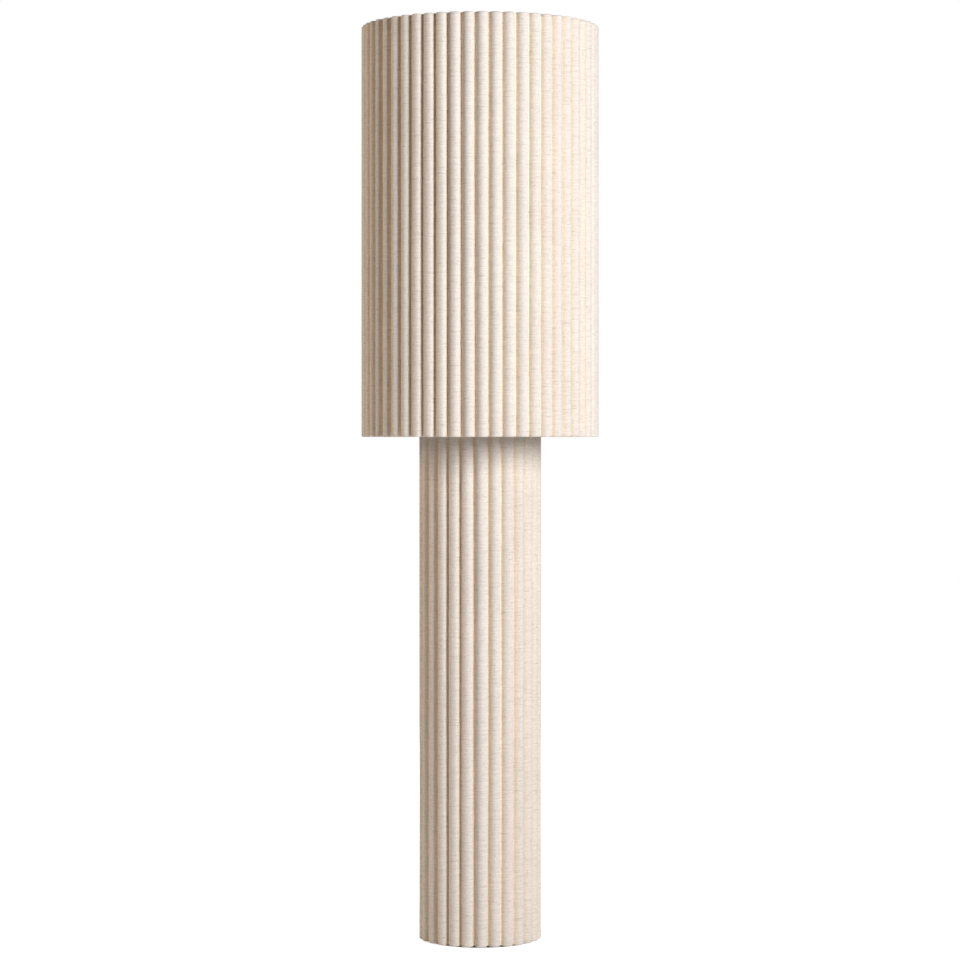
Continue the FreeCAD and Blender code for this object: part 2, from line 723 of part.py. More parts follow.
def make_carrier():
    """Make the plate with its centring boss, and the slip washer that the shade turns on."""
    turned_piece("shade_carrier", [
        (bore_radius, size["carrier_height"]),
        (size["carrier_radius"], size["carrier_height"]),
        (size["carrier_radius"], carrier_top),
        (size["boss_radius"], carrier_top),
        (size["boss_radius"], boss_height),
        (bore_radius, boss_height),
    ])
    washer_inner = size["boss_radius"] + WASHER_PLAY
    turned_piece("carrier_washer",
                 tube_corners(washer_inner, size["carrier_radius"], carrier_top, washer_top))


def make_lampholder():
    """Make the lampholder: cap, ceramic insert, contacts, terminal screws and screw sleeve."""
    outer = size["holder_radius"]
    cap_inner = outer - size["holder_wall"]
    insert_radius = cap_inner - size["insert_gap"]
    insert_bottom = holder_nut_top + LEAD_END
    turned_piece("holder_cap", [
        (bore_radius, holder_bottom),
        (outer - size["holder_bevel"], holder_bottom),
        (outer, holder_bottom + size["holder_bevel"]),
        (outer, cap_wall_top),
        (cap_inner, cap_wall_top),
        (cap_inner, holder_floor),
        (bore_radius, holder_floor),
    ])
    hexagon_nut("holder_nut", bore_radius, size["holder_nut_corner"], size["holder_nut_height"],
                holder_floor)
    turned_piece("holder_insert", [
        (0, insert_bottom),
        (insert_radius - size["insert_bevel"], insert_bottom),
        (insert_radius, insert_bottom + size["insert_bevel"]),
        (insert_radius, insert_top),
        (0, insert_top),
    ])
    centre_contact = cylinder("centre_contact", CENTRE_CONTACT_RADIUS, size["contact_height"], insert_top)
    add_piece("holder_centre_contact", centre_contact)
    side_contact = document.addObject("Part::Box", "side_contact")
    across, along, high = SIDE_CONTACT
    bind(side_contact, Length=across, Width=along, Height=high)
    raise_to(side_contact, insert_top, SIDE_CONTACT_PLACE, -along / 2)
    add_piece("holder_side_contact", side_contact)
    screws = []
    for name, across in (("left", -HOLDER_SCREW_PLACE), ("right", HOLDER_SCREW_PLACE)):
        bottom = insert_bottom - HOLDER_SCREW_HEIGHT
        screw = cylinder("holder_screw_" + name, HOLDER_SCREW_RADIUS, HOLDER_SCREW_HEIGHT, bottom)
        raise_to(screw, bottom, across)
        screws.append(screw)
    group = document.addObject("Part::Compound", "holder_terminal_screws")
    group.Links = screws
    add_piece("holder_terminal_screws", group)
    seat_radius = insert_radius + SLEEVE_PLAY
    seat = insert_top + SLEEVE_PLAY
    sleeve_inner = size["cap_radius"] + size["sleeve_gap"]
    sleeve_outer = sleeve_inner + size["sleeve_wall"]
    lower_shoulder, upper_shoulder = SLEEVE_SHOULDER
    turned_piece("holder_sleeve", [
        (seat_radius, cap_wall_top),
        (outer, cap_wall_top),
        (outer, cap_wall_top + lower_shoulder),
        (sleeve_outer, cap_wall_top + upper_shoulder),
        (sleeve_outer, shell_top),
        (sleeve_inner, shell_top),
        (sleeve_inner, seat),
        (seat_radius, seat),
    ])


# The shade: hub ring, spokes, stays, hoops, liner, strips and linen.

SPOKES = 3


def torus(name, height):
    """Make one of the shade's wire hoops."""
    ring = document.addObject("Part::Torus", name)
    bind(ring, Radius1=hoop_circle, Radius2=size["hoop_wire"])
    raise_to(ring, height)
    return ring


def make_shade_frame():
    """Make the spider's ring, two hoops, and three spokes and stays cut to fit against them."""
    upper = add_piece("shade_upper_hoop", torus("shade_upper_hoop", upper_hoop_height))
    lower = add_piece("shade_lower_hoop", torus("shade_lower_hoop", lower_hoop_height))
    turned_piece("spider_ring", tube_corners(size["hub_inner"], size["hub_outer"], washer_top, hub_top))
    wire = size["wire"]
    hub = cylinder("hub_cutter", size["hub_outer"], size["hub_plate"] + wire * 2, washer_top - wire)
    for index in range(SPOKES):
        label = f"shade_stay_{index + 1}"
        rod = cylinder(label + "_rod", wire, upper_hoop_height - lower_hoop_height, lower_hoop_height)
        raise_to(rod, lower_hoop_height, 0, hoop_circle)
        stay = cut(label, rod, upper, lower)
        add_piece(label, stay)
        label = f"shade_spoke_{index + 1}"
        inside = size["hub_outer"] - wire
        rod = lying_cylinder(label + "_rod", wire, hoop_circle - inside, inside, hub_middle)
        post = cylinder(label + "_post", wire, wire * 4, hub_middle - wire * 2)
        raise_to(post, hub_middle - wire * 2, 0, hoop_circle)
        spoke = cut(label, rod, hub, post)
        add_piece(label, spoke)
        for piece in (stay, spoke):
            turn = FreeCAD.Rotation(360 / SPOKES * index, 0, 0)
            piece.Placement = FreeCAD.Placement(FreeCAD.Vector(), turn)


def make_shade_skins():
    """Make the liner, its half-round strips and the linen, which is turned in behind both hoops."""
    turned_piece("shade_liner", tube_corners(liner_inner, liner_outer, strips_bottom, strips_top))
    flute = (size["shade_flutes"], shade_crest, shade_valley)
    flute_strips("shade_fluting", *flute, liner_outer, strips_bottom, strips_top)
    hem_inner = hem_outer - linen
    cover = fluted_cover("shade_linen", *flute, hem_inner, size["shade_bottom"], size["total_height"])
    hems = [
        ("lower_hem", size["shade_bottom"] + linen / 2),
        ("upper_hem", size["total_height"] - linen / 2 - size["hem"]),
    ]
    for name, bottom in hems:
        sketch = new_sketch(cover, name, "XY_Plane", bottom)
        circle(sketch, hem_outer)
        circle(sketch, hem_inner)
        pad(cover, sketch, size["hem"], name + "_pad")


# The bulb, which lifts out of the lampholder with all its pieces.

TIP_RADII = (3.6, 4.6)
TIP_HEIGHTS = (1.0, 1.6)
INSULATOR_RADIUS = 5.4
SHELL_LIP = 0.4
SHELL_LIP_RADIUS = 10.8
HOUSING_WALL = 1.5
HOUSING_FLARE = ((1.0, 0.0), (2.4, 6.0), (6.6, 18.0))
BOARD_PLAY = 0.6


def make_bulb():
    """Make the bulb: contact, insulator, screw cap with its thread, housing, light board and globe."""
    tip = size["bulb_tip"]
    neck = size["cap_radius"] - size["thread_depth"]
    core = size["shell_core"]
    core_fit = core - size["slack"]
    tip_face, tip_seat = TIP_HEIGHTS
    turned_piece("bulb_tip_contact", [
        (0, tip),
        (TIP_RADII[0], tip),
        (TIP_RADII[1], tip + tip_face),
        (TIP_RADII[1], tip + tip_seat),
        (0, tip + tip_seat),
    ])
    turned_piece("bulb_insulator", [
        (0, tip + tip_seat),
        (INSULATOR_RADIUS, tip + tip_seat),
        (core_fit, shell_bottom - SHELL_LIP),
        (core_fit, shell_bottom + SHELL_LIP * 5),
        (0, shell_bottom + SHELL_LIP * 5),
    ])
    thread = [(core, shell_bottom - SHELL_LIP), (SHELL_LIP_RADIUS, shell_bottom - SHELL_LIP)]
    ridge = shell_bottom + SHELL_LIP
    for turn in range(round(size["thread_turns"].value)):
        thread.append((neck, ridge))
        thread.append((size["cap_radius"], ridge + size["thread_pitch"] / 2))
        ridge = ridge + size["thread_pitch"]
    thread += [(neck, ridge), (neck, shell_top), (core, shell_top)]
    turned_piece("bulb_screw_cap", thread)
    outer = [(neck + wide, shell_top + up) for wide, up in HOUSING_FLARE]
    inner = [
        (globe_cut_radius - HOUSING_WALL, globe_cut),
        (outer[2][0] - HOUSING_WALL, outer[2][1]),
        (core, outer[1][1]),
    ]
    turned_piece("bulb_housing", [(core, shell_top), *outer, (globe_cut_radius, globe_cut), *inner])
    board_radius = globe_cut_radius - HOUSING_WALL - BOARD_PLAY
    turned_piece("bulb_led_board",
                 tube_corners(0, board_radius, globe_cut - size["board_height"], globe_cut))
    outside = document.addObject("Part::Sphere", "globe_outside")
    outside.Angle1 = -math.degrees(math.asin(GLOBE_CUT_SINE))
    bind(outside, Radius=size["bulb_radius"])
    raise_to(outside, globe_centre)
    inside = document.addObject("Part::Sphere", "globe_inside")
    bind(inside, Radius=size["bulb_radius"] - size["globe_wall"])
    raise_to(inside, globe_centre)
    add_piece("bulb_globe", cut("bulb_globe", outside, inside))


def check_document():
    """Stop if any object failed or any sub-part's shape is empty or invalid."""
    for item in document.Objects:
        if "Invalid" in item.State or "Error" in item.State:
            raise ValueError(f"{item.Label} failed: {item.State}")
    for label, piece in pieces.items():
        if piece.Shape.isNull() or not piece.Shape.isValid():
            raise ValueError(f"{label} has no valid shape")


def write_pieces():
    """Write each sub-part to its own file and print its size."""
    os.makedirs("parts", exist_ok=True)
    for label, piece in pieces.items():
        shape = piece.Shape
        box = shape.BoundBox
        print(f"{label:24s} solids {len(shape.Solids)}  volume {shape.Volume / 1000:9.2f} cm3"
              f"  z {box.ZMin:8.2f} to {box.ZMax:8.2f}  reach {box.XMax:7.2f} {box.YMax:7.2f}")
        shape.exportStep(f"parts/{label}.step")


make_base()
make_clamps()
make_pole()
make_column()
make_cord_bushing()
make_terminal_block()
make_inner_lead()
make_carrier()
make_lampholder()
make_shade_frame()
make_shade_skins()
make_bulb()
document.recompute()
check_document()
write_pieces()
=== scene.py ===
# %% [markdown]
# # A fluted linen floor lamp
# The lamp has two covered drums: a column that stands on the floor and a wider shade that hangs
# round the column's top. Both are covered in one natural linen over upright flutes. This lesson
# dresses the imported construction: it keeps every hard part where it is, gives each one a finish,
# and models the cloth again as real sheets with soft rims, valleys and a visible weave.

# %% Load the frame
import json
import math
import bmesh
import bpy
import numpy as np
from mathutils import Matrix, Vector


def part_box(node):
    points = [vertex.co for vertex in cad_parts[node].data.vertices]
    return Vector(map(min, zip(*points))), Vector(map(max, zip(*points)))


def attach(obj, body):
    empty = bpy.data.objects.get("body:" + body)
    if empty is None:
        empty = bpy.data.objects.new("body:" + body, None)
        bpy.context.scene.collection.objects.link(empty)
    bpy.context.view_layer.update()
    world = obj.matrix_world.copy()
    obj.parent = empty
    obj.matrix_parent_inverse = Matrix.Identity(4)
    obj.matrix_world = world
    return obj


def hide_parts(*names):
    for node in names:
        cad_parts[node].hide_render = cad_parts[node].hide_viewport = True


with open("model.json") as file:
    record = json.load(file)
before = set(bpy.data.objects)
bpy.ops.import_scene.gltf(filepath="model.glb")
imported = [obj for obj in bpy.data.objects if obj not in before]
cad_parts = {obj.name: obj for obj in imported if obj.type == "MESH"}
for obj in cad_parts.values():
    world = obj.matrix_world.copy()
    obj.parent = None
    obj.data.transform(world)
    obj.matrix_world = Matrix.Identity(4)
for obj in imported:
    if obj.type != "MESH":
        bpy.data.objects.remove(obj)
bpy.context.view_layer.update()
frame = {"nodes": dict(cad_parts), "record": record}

# %% [markdown]
# The camera comes first. In the photograph the shade's lower rim is a straight line, so the lens is
# level with it. The upper rim curves by 17 pixels, which puts the camera about 25 shade radii away.
# The lamp's sides don't lean together, so the camera is level as well, and a small shift of the lens
# puts its horizon a little above the middle of the picture, as a studio photographer would.

# %% Camera
shade_low, shade_high = (np.array(corner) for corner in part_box("shade_linen"))
column_low, column_high = (np.array(corner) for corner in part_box("column_linen"))
SHADE_RADIUS = shade_high[1]
COLUMN_RADIUS = column_high[1]
EYE_DISTANCE = 25.0 * SHADE_RADIUS
EYE_HEIGHT = shade_low[2]
SENSOR_WIDTH = 36.0
PHOTO_WIDTH = 960.0
FOCAL_PIXELS = 2960.0
HORIZON_ABOVE_CENTRE = 43.0
FAR_CLIP = 100.0
CAMERA_TURN = math.radians(1.0)


def add_camera():
    """Place the camera on a circle round the lamp's axis, at the height of the shade's rim."""
    lens = bpy.data.cameras.new("camera")
    lens.sensor_width = SENSOR_WIDTH
    lens.lens = SENSOR_WIDTH * FOCAL_PIXELS / PHOTO_WIDTH
    lens.shift_y = -HORIZON_ABOVE_CENTRE / PHOTO_WIDTH
    lens.clip_end = FAR_CLIP
    camera = bpy.data.objects.new("camera", lens)
    side = -EYE_DISTANCE * math.sin(CAMERA_TURN)
    front = -EYE_DISTANCE * math.cos(CAMERA_TURN)
    camera.location = (side, front, EYE_HEIGHT)
    camera.rotation_euler = (math.pi / 2, 0.0, -CAMERA_TURN)
    bpy.context.scene.collection.objects.link(camera)
    bpy.context.scene.camera = camera
    return camera


camera = add_camera()
bpy.context.scene.view_settings.view_transform = "Standard"
print("lens", round(camera.data.lens, 1), "mm at", round(EYE_DISTANCE, 2), "m")

# %% [markdown]
# The studio is white. A tall key lamp stands to the right of the camera and a weaker one to the left,
# a little behind the lamp. The flutes show this: their crests are bright, their left flanks go dark
# towards the left of each drum, and towards the right the light falls straight into the valleys.
# The key's light is a little cool and the left one's is warm, as light is that comes back from a
# room, so the shaded flanks are warmer than the crests. A third lamp lights only the back. The world
# looks white to the camera, but gives little light.

# %% Studio
COOL = (0.885, 0.933, 1.0)
WARM = (1.0, 0.84, 0.65)
LAMP_DISTANCE = 3.0
LAMP_HEIGHT = 1.75
LAMP_TALL = 1.4
LAMPS = [
    ("key_lamp", 35.0, 0.9, 94.0, COOL),
    ("left_lamp", -100.0, 0.5, 42.0, WARM),
    ("back_lamp", 165.0, 0.9, 62.0, COOL),
]
WORLD_STRENGTH = 0.03
WHITE = (1.0, 1.0, 1.0, 1.0)


def aim(thing, target):
    """Turn a lamp so that its -Z axis points at a target."""
    direction = np.array(target) - np.array(thing.location)
    across = math.hypot(direction[0], direction[1])
    lean = math.atan2(across, -direction[2])
    thing.rotation_euler = (lean, 0.0, math.atan2(direction[1], direction[0]) - math.pi / 2)


def add_lamps():
    """Set up the soft boxes by their angle to the right of the camera, width and power."""
    for name, angle, width, power, colour in LAMPS:
        light = bpy.data.lights.new(name, "AREA")
        light.shape = "RECTANGLE"
        light.size = width
        light.size_y = LAMP_TALL
        light.energy = power
        light.color = colour
        lamp = bpy.data.objects.new(name, light)
        turn = math.radians(angle)
        side = LAMP_DISTANCE * math.sin(turn)
        lamp.location = (side, -LAMP_DISTANCE * math.cos(turn), LAMP_HEIGHT)
        aim(lamp, (0.0, 0.0, shade_low[2]))
        bpy.context.scene.collection.objects.link(lamp)


def add(tree, kind, inputs=(), **settings):
    """Add a shader node, change its settings, and set or link its inputs by name or number."""
    node = tree.nodes.new("ShaderNode" + kind)
    for name, value in settings.items():
        setattr(node, name, value)
    for name, value in dict(inputs).items():
        if isinstance(value, bpy.types.NodeSocket):
            tree.links.new(value, node.inputs[name])
        else:
            node.inputs[name].default_value = value
    return node


def seen_directly(tree):
    """Give 1 for rays that should see plain white: from the camera, in gloss and through glass."""
    path = add(tree, "LightPath")
    sockets = {0: path.outputs["Is Camera Ray"], 1: path.outputs["Is Glossy Ray"]}
    either = add(tree, "Math", sockets, operation="MAXIMUM")
    sockets = {0: either.outputs[0], 1: path.outputs["Is Transmission Ray"]}
    return add(tree, "Math", sockets, operation="MAXIMUM").outputs[0]


def add_world():
    """Make a world that looks white and lights the lamp a little."""
    world = bpy.data.worlds.new("studio")
    bpy.context.scene.world = world
    world.use_nodes = True
    tree = world.node_tree
    light = tree.nodes["Background"]
    light.inputs["Strength"].default_value = WORLD_STRENGTH
    light.inputs["Color"].default_value = WHITE
    white = add(tree, "Background", {"Strength": 1.0, "Color": WHITE})
    sockets = {0: seen_directly(tree), 1: light.outputs[0], 2: white.outputs[0]}
    choice = add(tree, "MixShader", sockets)
    tree.links.new(choice.outputs[0], tree.nodes["World Output"].inputs[0])


add_lamps()
add_world()
print("lamps", [name for name, *_ in LAMPS])

# %% [markdown]
# The floor is a pale sheet that keeps a soft shadow of the lamp. To the camera it is nearly white,
# through a light of its own that only such rays see. That light grows with the distance from the
# lamp, where the studio's lamps reach less, so the floor has no edge against the white behind it.

# %% Floor
FLOOR_RADIUS = 9.0
FLOOR_SIDES = 96
FLOOR_COLOUR = (0.80, 0.80, 0.80, 1.0)
FLOOR_ROUGHNESS = 0.9
GLOW_NEAR = 0.80
GLOW_FAR = 1.0
GLOW_START = 0.8
GLOW_END = 3.0


def new_material(name):
    """Start a node material and give its tree and its main shader."""
    material = bpy.data.materials.new(name)
    material.use_nodes = True
    tree = material.node_tree
    return material, tree, tree.nodes["Principled BSDF"]


def add_floor():
    """Make a round floor with a fine rim, so its edge is far outside the view."""
    turns = np.linspace(0.0, 2 * math.pi, FLOOR_SIDES, endpoint=False)
    across = FLOOR_RADIUS * np.cos(turns)
    along = FLOOR_RADIUS * np.sin(turns)
    points = np.stack([across, along, np.zeros_like(turns)], 1)
    mesh = bpy.data.meshes.new("studio_floor")
    mesh.from_pydata(points.tolist(), [], [tuple(range(len(points)))])
    floor = bpy.data.objects.new("studio_floor", mesh)
    bpy.context.scene.collection.objects.link(floor)
    material, tree, shader = new_material("studio_floor")
    shader.inputs["Base Color"].default_value = FLOOR_COLOUR
    shader.inputs["Roughness"].default_value = FLOOR_ROUGHNESS
    shader.inputs["Emission Color"].default_value = WHITE
    place = add(tree, "TexCoord").outputs["Object"]
    distance = add(tree, "VectorMath", {0: place}, operation="LENGTH").outputs["Value"]
    sockets = {"Value": distance, "From Min": GLOW_START, "From Max": GLOW_END, "To Min": GLOW_NEAR,
               "To Max": GLOW_FAR}
    growing = add(tree, "MapRange", sockets)
    sockets = {0: seen_directly(tree), 1: growing.outputs[0]}
    glow = add(tree, "Math", sockets, operation="MULTIPLY")
    tree.links.new(glow.outputs[0], shader.inputs["Emission Strength"])
    mesh.materials.append(material)


add_floor()
print("floor radius", FLOOR_RADIUS, "m")

# %% [markdown]
# A flute's outline is an arc over a half-round strip. Two strips stand a few millimetres apart, and
# between them the cloth is pressed in and turns round in a small hollow arc. Both arcs are exact
# circles: the convex one has its centre in the strip, and the hollow one touches its two neighbours.
# Sampling them by angle gives an outline that is fine in the valley and even over the crest.

# %% Flute outline
CLOTH = 0.0008
FLUTE_DEPTH = 0.008
STRIP_EDGE = 0.001
STRIP_GAP = 0.004
VALLEY_RADIUS = 0.0014
ARC_STEPS = 15
VALLEY_STEPS = 4


def flute_shape(count, crest):
    """Sample one flute of a cloth outline.

    A strip's crown goes through its crest, at distance k from the axis, and through its shoulders,
    e to each side at height s, so its centre lies at c = (k^2 - e^2 - s^2) / (2 (k - s)). The cloth's
    arc has the same centre and is one cloth thicker. With a the half angle of a flute, the hollow
    arc's centre lies on the line between two flutes, at q = c cos a + sqrt((r + f)^2 - (c sin a)^2),
    where r is the cloth arc's radius and f the hollow's. Returns angle from the crest, distance from
    the axis, and depth: 0 at the crest and 1 in the valley.
    """
    half = math.pi / count
    strip = crest - CLOTH
    valley = strip - FLUTE_DEPTH
    edge = (valley - STRIP_EDGE) * math.tan(half) - STRIP_GAP / 2
    shoulder = valley * math.cos(half)
    centre = (strip ** 2 - edge ** 2 - shoulder ** 2) / (2 * (strip - shoulder))
    radius = crest - centre
    beside = centre * math.sin(half)
    hollow = centre * math.cos(half) + math.sqrt((radius + VALLEY_RADIUS) ** 2 - beside ** 2)
    hollow_x = hollow * math.sin(half)
    hollow_y = hollow * math.cos(half)
    touch = math.atan2(hollow_x, hollow_y - centre)
    arc = np.linspace(-touch, touch, ARC_STEPS)
    start = math.atan2(centre - hollow_y, -hollow_x)
    end = math.atan2(-hollow_y, -hollow_x)
    turn = np.linspace(start, end, VALLEY_STEPS + 1)[1:]
    right_x = hollow_x + VALLEY_RADIUS * np.cos(turn)
    right_y = hollow_y + VALLEY_RADIUS * np.sin(turn)
    x = np.concatenate([-right_x[-2::-1], radius * np.sin(arc), right_x])
    y = np.concatenate([right_y[-2::-1], centre + radius * np.cos(arc), right_y])
    reach = np.hypot(x, y)
    depth = (reach.max() - reach) / (reach.max() - reach.min())
    return np.arctan2(x, y), reach, depth


SHADE_FLUTES = 54
COLUMN_FLUTES = 26
for count, crest in ((SHADE_FLUTES, SHADE_RADIUS), (COLUMN_FLUTES, COLUMN_RADIUS)):
    angle, reach, depth = flute_shape(count, crest)
    print(count, "flutes of", len(angle), "points, valleys at", round(float(reach.min()) * 1000, 2), "mm")

# %% [markdown]
# No hand-covered drum is perfectly even. Each valley stands a little to one side and wanders by a
# few tenths of a millimetre on its way up, and each crest is a little higher or lower. The changes
# are random but seeded, smooth along the height, and shared by the two flutes beside a valley.

# %% Hand-made unevenness
VALLEY_SHIFT = 0.0004
VALLEY_WANDER = 0.00025
LARGEST_SHIFT = 0.0006
CREST_SWELL = 0.0002
WAVES = (1.0, 2.0, 4.0)


def valley_shifts(random, count, heights):
    """Give each valley's sideways shift at each height: a constant plus three waves with random phases."""
    shift = np.repeat(random.normal(0.0, VALLEY_SHIFT, count)[None], len(heights), 0)
    for wave in WAVES:
        size = random.normal(0.0, VALLEY_WANDER / wave, count)
        phase = random.uniform(0.0, 2 * math.pi, count)
        shift += size * np.sin(2 * math.pi * wave * heights[:, None] + phase)
    return np.clip(shift, -LARGEST_SHIFT, LARGEST_SHIFT)


def drum_outline(count, crest, heights, seed):
    """Work out a drum's outline at several heights, one row each, starting in a valley at the back.

    A point at share s of the way over its flute moves by (1 - s) times the left valley's shift plus
    s times the right valley's. Crests swell by a random amount that fades towards the valleys.
    """
    angle, reach, depth = flute_shape(count, crest)
    random = np.random.default_rng(seed)
    pitch = 2 * math.pi / count
    share = angle / pitch + 0.5
    right = valley_shifts(random, count, heights)[:, :, None] / crest
    left = np.roll(right, 1, axis=1)
    first = pitch * (np.arange(count) - count // 2)
    turn = first[None, :, None] + angle + left * (1 - share) + right * share
    swell = random.normal(0.0, CREST_SWELL, count)
    far = reach + swell[None, :, None] * (1 - depth) + np.zeros_like(turn)
    depths = np.broadcast_to(depth, turn.shape)
    rows = len(heights)
    return turn.reshape(rows, -1), far.reshape(rows, -1), depths.reshape(rows, -1)


# %% [markdown]
# The cloth is one sheet. It goes up over the strips, rounds the rim, is drawn in flat to an inner
# circle, and ends there or, on the shade, goes down behind the hoop as a hem. A path of stations
# describes this once: each station says how far the cloth has gone from the fluted outline to the
# inner circle, how far it stands in or out, its height and how deep the valleys dip at the rim.

# %% Path of the cloth
RIM_RADIUS = 0.0024
RIM_STEPS = 7
FLAT_STEPS = 6
DIP_OVER_STRIP = 0.0006
DIP_IN_VALLEY = 0.0016
DIP_POWER = 6
HEM_RADIUS = 0.0012
HEM_TURN = 4
HEM_ROWS = (0.35, 0.7, 1.0)
SPREAD_ROWS = (0.3, 0.7, 1.0)
SPREAD_DROP = 0.6
STAY_TENT = 0.030


def rim_stations(hem, spread):
    """List the stations from the end of the wall inwards: (drawn in, stand-off, drop, dip, spread).

    The rim and the hem's turn are quarter circles. Drawn in goes from 0 on the outline to 1 on the
    inner circle. The dip fades with its sixth power, so it is gone over the strips' ends. The spread
    is how far the hem's end stands out again, to the liner behind the hoop.
    """
    stations = []
    for turn in np.linspace(0.0, math.pi / 2, RIM_STEPS):
        stand = -RIM_RADIUS * (1 - math.cos(turn))
        drop = RIM_RADIUS * (1 - math.sin(turn))
        stations.append((0.0, stand, drop, math.sin(turn) ** 2, 0.0))
    inset = HEM_RADIUS if hem > 0 else 0.0
    for drawn in np.linspace(0.0, 1.0, FLAT_STEPS)[1:]:
        stand = -RIM_RADIUS * (1 - drawn) + inset * drawn
        stations.append((drawn, stand, 0.0, (1 - drawn) ** DIP_POWER, 0.0))
    if hem == 0:
        stations.append((1.0, 0.0, CLOTH, 0.0, 0.0))
        return np.array(stations)
    for turn in np.linspace(0.0, math.pi / 2, HEM_TURN)[1:]:
        stand = HEM_RADIUS * (1 - math.sin(turn))
        stations.append((1.0, stand, HEM_RADIUS * (1 - math.cos(turn)), 0.0, 0.0))
    for share in HEM_ROWS:
        stations.append((1.0, 0.0, HEM_RADIUS + (hem - HEM_RADIUS) * share, 0.0, 0.0))
    for share in SPREAD_ROWS:
        stations.append((1.0, 0.0, hem + spread * share * SPREAD_DROP, 0.0, spread * share))
    return np.array(stations)


def tents(turn, stays):
    """Give 1 beside each stay and 0 away from it: exp(-(angle to the stay / tent)^2), added up."""
    apart = (turn[..., None] - np.array(stays) + math.pi) % (2 * math.pi) - math.pi
    return np.exp(-((apart / STAY_TENT) ** 2)).sum(-1)


def cloth_grid(count, crest, bottom, top, wall, stations, inner, seed, stays=()):
    """Place a drum's cloth: x and y from turn and reach, with reach = outline (1 - b) + circle b + s.

    b is how far the cloth is drawn in and s its stand-off. Heights run from the inner edge at the
    bottom, round the rim, up the wall and round the upper rim to the inner edge there. At a rim the
    cloth dips between the strips by a little of depth and more of depth^6. A stay keeps the hem in.
    """
    drawn, stand, drop, dip, spread = stations.T
    none = np.zeros(len(wall))
    heights = np.concatenate([bottom + drop[::-1], wall, top - drop])
    drawn_in = np.concatenate([drawn[::-1], none, drawn])[:, None]
    stand_off = np.concatenate([stand[::-1], none, stand])[:, None]
    dips = np.concatenate([dip[::-1], none, -dip])[:, None]
    spreads = np.concatenate([spread[::-1], none, spread])[:, None]
    turn, outline, depth = drum_outline(count, crest, heights, seed)
    reach = outline * (1 - drawn_in) + inner * drawn_in + stand_off
    reach += spreads * (1 - np.clip(tents(turn, stays), 0, 1))
    level = heights[:, None] + dips * (DIP_OVER_STRIP * depth + DIP_IN_VALLEY * depth ** DIP_POWER)
    return np.stack([reach * np.sin(turn), -reach * np.cos(turn), level], -1), depth * (1 - drawn_in)


def wall_heights(bottom, top, rows):
    """Space the wall's rows evenly between the two rims."""
    return np.linspace(bottom + RIM_RADIUS, top - RIM_RADIUS, rows + 2)[1:-1]


def around(node):
    """Give the angle at which a node stands round the lamp's axis, from the front towards +X."""
    low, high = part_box(node)
    middle = (low + high) / 2
    return math.atan2(middle[0], -middle[1])


HEM_HEIGHT = 0.0115
HEM_SPREAD = 0.0052
shade_rim = rim_stations(HEM_HEIGHT, HEM_SPREAD)
column_rim = rim_stations(0.0, 0.0)
stay_turns = [around(f"shade_stay_{index}") for index in (1, 2, 3)]
print("stations at a rim: shade", len(shade_rim), "column", len(column_rim))
print("stays at", [round(math.degrees(turn)) for turn in stay_turns], "degrees")

# %% [markdown]
# The grid becomes one mesh that closes on itself at the seam. Its UV map is in metres of cloth,
# across and along the threads, so the weave keeps its scale everywhere, and a point attribute
# carries the depth of the flute, which places the painted bounce light on the flanks and in the valleys.

# %% Mesh from a grid
def new_piece(name, points, faces):
    """Make a piece from points and faces that numpy has worked out."""
    mesh = bpy.data.meshes.new(name)
    mesh.from_pydata(points.reshape(-1, 3).tolist(), [], faces.tolist())
    mesh.shade_smooth()
    piece = bpy.data.objects.new(name, mesh)
    bpy.context.scene.collection.objects.link(piece)
    return piece


def lengths(steps):
    """Add up the lengths of steps from the start."""
    return np.concatenate([[0.0], np.cumsum(np.linalg.norm(steps, axis=-1))])


def grid_faces(rows, columns):
    """List a grid's faces, closed round its columns: each is (j, i), (j, i+1), (j+1, i+1), (j+1, i)."""
    j, i = np.meshgrid(np.arange(rows - 1), np.arange(columns), indexing="ij")
    after = (i + 1) % columns
    corners = [j * columns + i, j * columns + after, (j + 1) * columns + after, (j + 1) * columns + i]
    return np.stack(corners, -1).reshape(-1, 4)


def faces_beyond(points, faces, centre, radius):
    """Say which faces have their middle further than a radius from a point."""
    middles = points.reshape(-1, 3)[faces].mean(1)
    return np.linalg.norm(middles - np.array(centre), axis=1) > radius


def add_cloth_map(piece, points, kept):
    """Give each corner of the kept faces its place on the flat cloth, in metres."""
    rows, columns = points.shape[:2]
    middle = points[rows // 2]
    across = lengths(np.diff(np.concatenate([middle, middle[:1]]), axis=0))
    along = lengths(np.diff(points[:, columns // 2], axis=0))
    j, i = np.meshgrid(np.arange(rows - 1), np.arange(columns), indexing="ij")
    u = np.stack([across[i], across[i + 1], across[i + 1], across[i]], -1)
    v = np.stack([along[j], along[j], along[j + 1], along[j + 1]], -1)
    layer = piece.data.uv_layers.new(name="cloth")
    corners = np.stack([u, v], -1).reshape(-1, 8)[kept]
    layer.data.foreach_set("uv", corners.reshape(-1).astype(np.float32))
    return float(across[-1]), float(along[-1])


def add_depth(piece, depth):
    """Store the flute's depth on the points."""
    attribute = piece.data.attributes.new("valley", "FLOAT", "POINT")
    attribute.data.foreach_set("value", depth.reshape(-1).astype(np.float32))


def cloth_drum(name, points, depth, hole):
    """Make a drum of cloth and give its cut size: the outline's length and the path's length."""
    faces = grid_faces(*points.shape[:2])
    kept = faces_beyond(points, faces, *hole)
    piece = new_piece(name, points, faces[kept])
    width, length = add_cloth_map(piece, points, kept)
    add_depth(piece, depth)
    print(name, "cut", round(width, 3), "by", round(length, 3), "m,", len(piece.data.polygons), "faces")
    return piece, width, length


